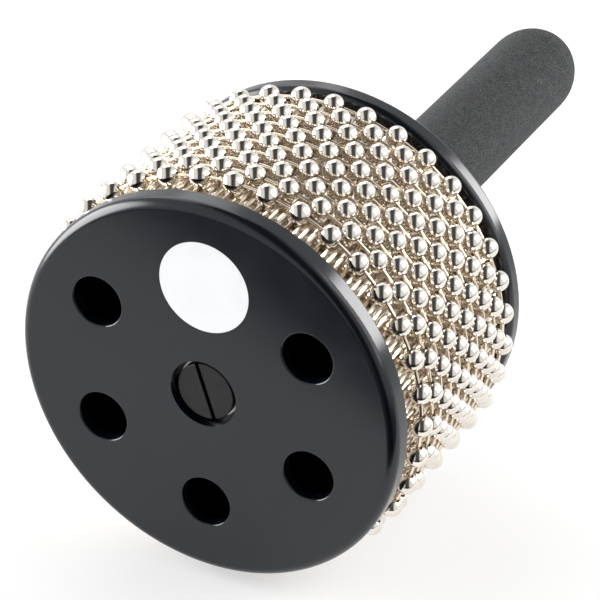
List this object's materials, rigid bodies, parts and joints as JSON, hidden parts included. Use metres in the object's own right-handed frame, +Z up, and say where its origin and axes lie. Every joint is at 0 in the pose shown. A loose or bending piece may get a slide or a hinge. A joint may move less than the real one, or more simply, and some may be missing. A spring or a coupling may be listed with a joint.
{
  "type": "cabasa",
  "caption": "Hand percussion cabasa: a vented black drum head with a ridged steel sleeve wrapped in loops of steel ball chain that turn on it, on a straight foam-covered handle.",
  "frame": {"origin": "middle of the straight stretch of the grip, on the axis of the head and handle", "axes": "+Y along the axis from the head towards the end of the handle, +Z up with the instrument lying on its beads, +X to the right seen from the front"},
  "size_m": [0.1222, 0.2318, 0.1222],
  "materials": {
    "black_abs": "satin moulded ABS",
    "barrel_abs": "moulded ABS",
    "white_label": "smooth white label",
    "black_screw": "black oxide",
    "zinc_washer": "zinc plated",
    "alu_tube": "drawn tube",
    "ridged_steel": "bright ridged stainless steel",
    "nickel_bead": "polished nickel plated steel",
    "nickel_link": "nickel plated steel wire",
    "handle_rod": "turned hardwood dowel",
    "brass_insert": "turned brass",
    "foam": "fine closed cell foam"
  },
  "bodies": {
    "head": {"front_cap": "black_abs", "badge_disc": "white_label", "clamp_screw": "black_screw", "screw_washer": "zinc_washer", "spacer_tube": "alu_tube", "ridged_sleeve": "ridged_steel", "drum_barrel": "barrel_abs", "rear_flange": "black_abs", "handle_core": "handle_rod", "threaded_insert": "brass_insert", "foam_grip": "foam"},
    "chain_loop_01": {"chain_beads_01": "nickel_bead", "chain_links_01": "nickel_link"},
    "chain_loop_02": {"chain_beads_02": "nickel_bead", "chain_links_02": "nickel_link"},
    "chain_loop_03": {"chain_beads_03": "nickel_bead", "chain_links_03": "nickel_link"},
    "chain_loop_04": {"chain_beads_04": "nickel_bead", "chain_links_04": "nickel_link"},
    "chain_loop_05": {"chain_beads_05": "nickel_bead", "chain_links_05": "nickel_link"},
    "chain_loop_06": {"chain_beads_06": "nickel_bead", "chain_links_06": "nickel_link"},
    "chain_loop_07": {"chain_beads_07": "nickel_bead", "chain_links_07": "nickel_link"},
    "chain_loop_08": {"chain_beads_08": "nickel_bead", "chain_links_08": "nickel_link"},
    "chain_loop_09": {"chain_beads_09": "nickel_bead", "chain_links_09": "nickel_link"},
    "chain_loop_10": {"chain_beads_10": "nickel_bead", "chain_links_10": "nickel_link"}
  },
  "joints": [
    {"name": "loop_01_turn", "type": "hinge", "parent": "head", "child": "chain_loop_01", "pos_m": [0, 0, 0], "axis": [0, 1, 0], "continuous": true},
    {"name": "loop_02_turn", "type": "hinge", "parent": "head", "child": "chain_loop_02", "pos_m": [0, 0, 0], "axis": [0, 1, 0], "continuous": true},
    {"name": "loop_03_turn", "type": "hinge", "parent": "head", "child": "chain_loop_03", "pos_m": [0, 0, 0], "axis": [0, 1, 0], "continuous": true},
    {"name": "loop_04_turn", "type": "hinge", "parent": "head", "child": "chain_loop_04", "pos_m": [0, 0, 0], "axis": [0, 1, 0], "continuous": true},
    {"name": "loop_05_turn", "type": "hinge", "parent": "head", "child": "chain_loop_05", "pos_m": [0, 0, 0], "axis": [0, 1, 0], "continuous": true},
    {"name": "loop_06_turn", "type": "hinge", "parent": "head", "child": "chain_loop_06", "pos_m": [0, 0, 0], "axis": [0, 1, 0], "continuous": true},
    {"name": "loop_07_turn", "type": "hinge", "parent": "head", "child": "chain_loop_07", "pos_m": [0, 0, 0], "axis": [0, 1, 0], "continuous": true},
    {"name": "loop_08_turn", "type": "hinge", "parent": "head", "child": "chain_loop_08", "pos_m": [0, 0, 0], "axis": [0, 1, 0], "continuous": true},
    {"name": "loop_09_turn", "type": "hinge", "parent": "head", "child": "chain_loop_09", "pos_m": [0, 0, 0], "axis": [0, 1, 0], "continuous": true},
    {"name": "loop_10_turn", "type": "hinge", "parent": "head", "child": "chain_loop_10", "pos_m": [0, 0, 0], "axis": [0, 1, 0], "continuous": true}
  ],
  "couplings": [
    {"joint": "loop_02_turn", "follows": "loop_01_turn", "ratio": 1},
    {"joint": "loop_03_turn", "follows": "loop_01_turn", "ratio": 1},
    {"joint": "loop_04_turn", "follows": "loop_01_turn", "ratio": 1},
    {"joint": "loop_05_turn", "follows": "loop_01_turn", "ratio": 1},
    {"joint": "loop_06_turn", "follows": "loop_01_turn", "ratio": 1},
    {"joint": "loop_07_turn", "follows": "loop_01_turn", "ratio": 1},
    {"joint": "loop_08_turn", "follows": "loop_01_turn", "ratio": 1},
    {"joint": "loop_09_turn", "follows": "loop_01_turn", "ratio": 1},
    {"joint": "loop_10_turn", "follows": "loop_01_turn", "ratio": 1}
  ]
}
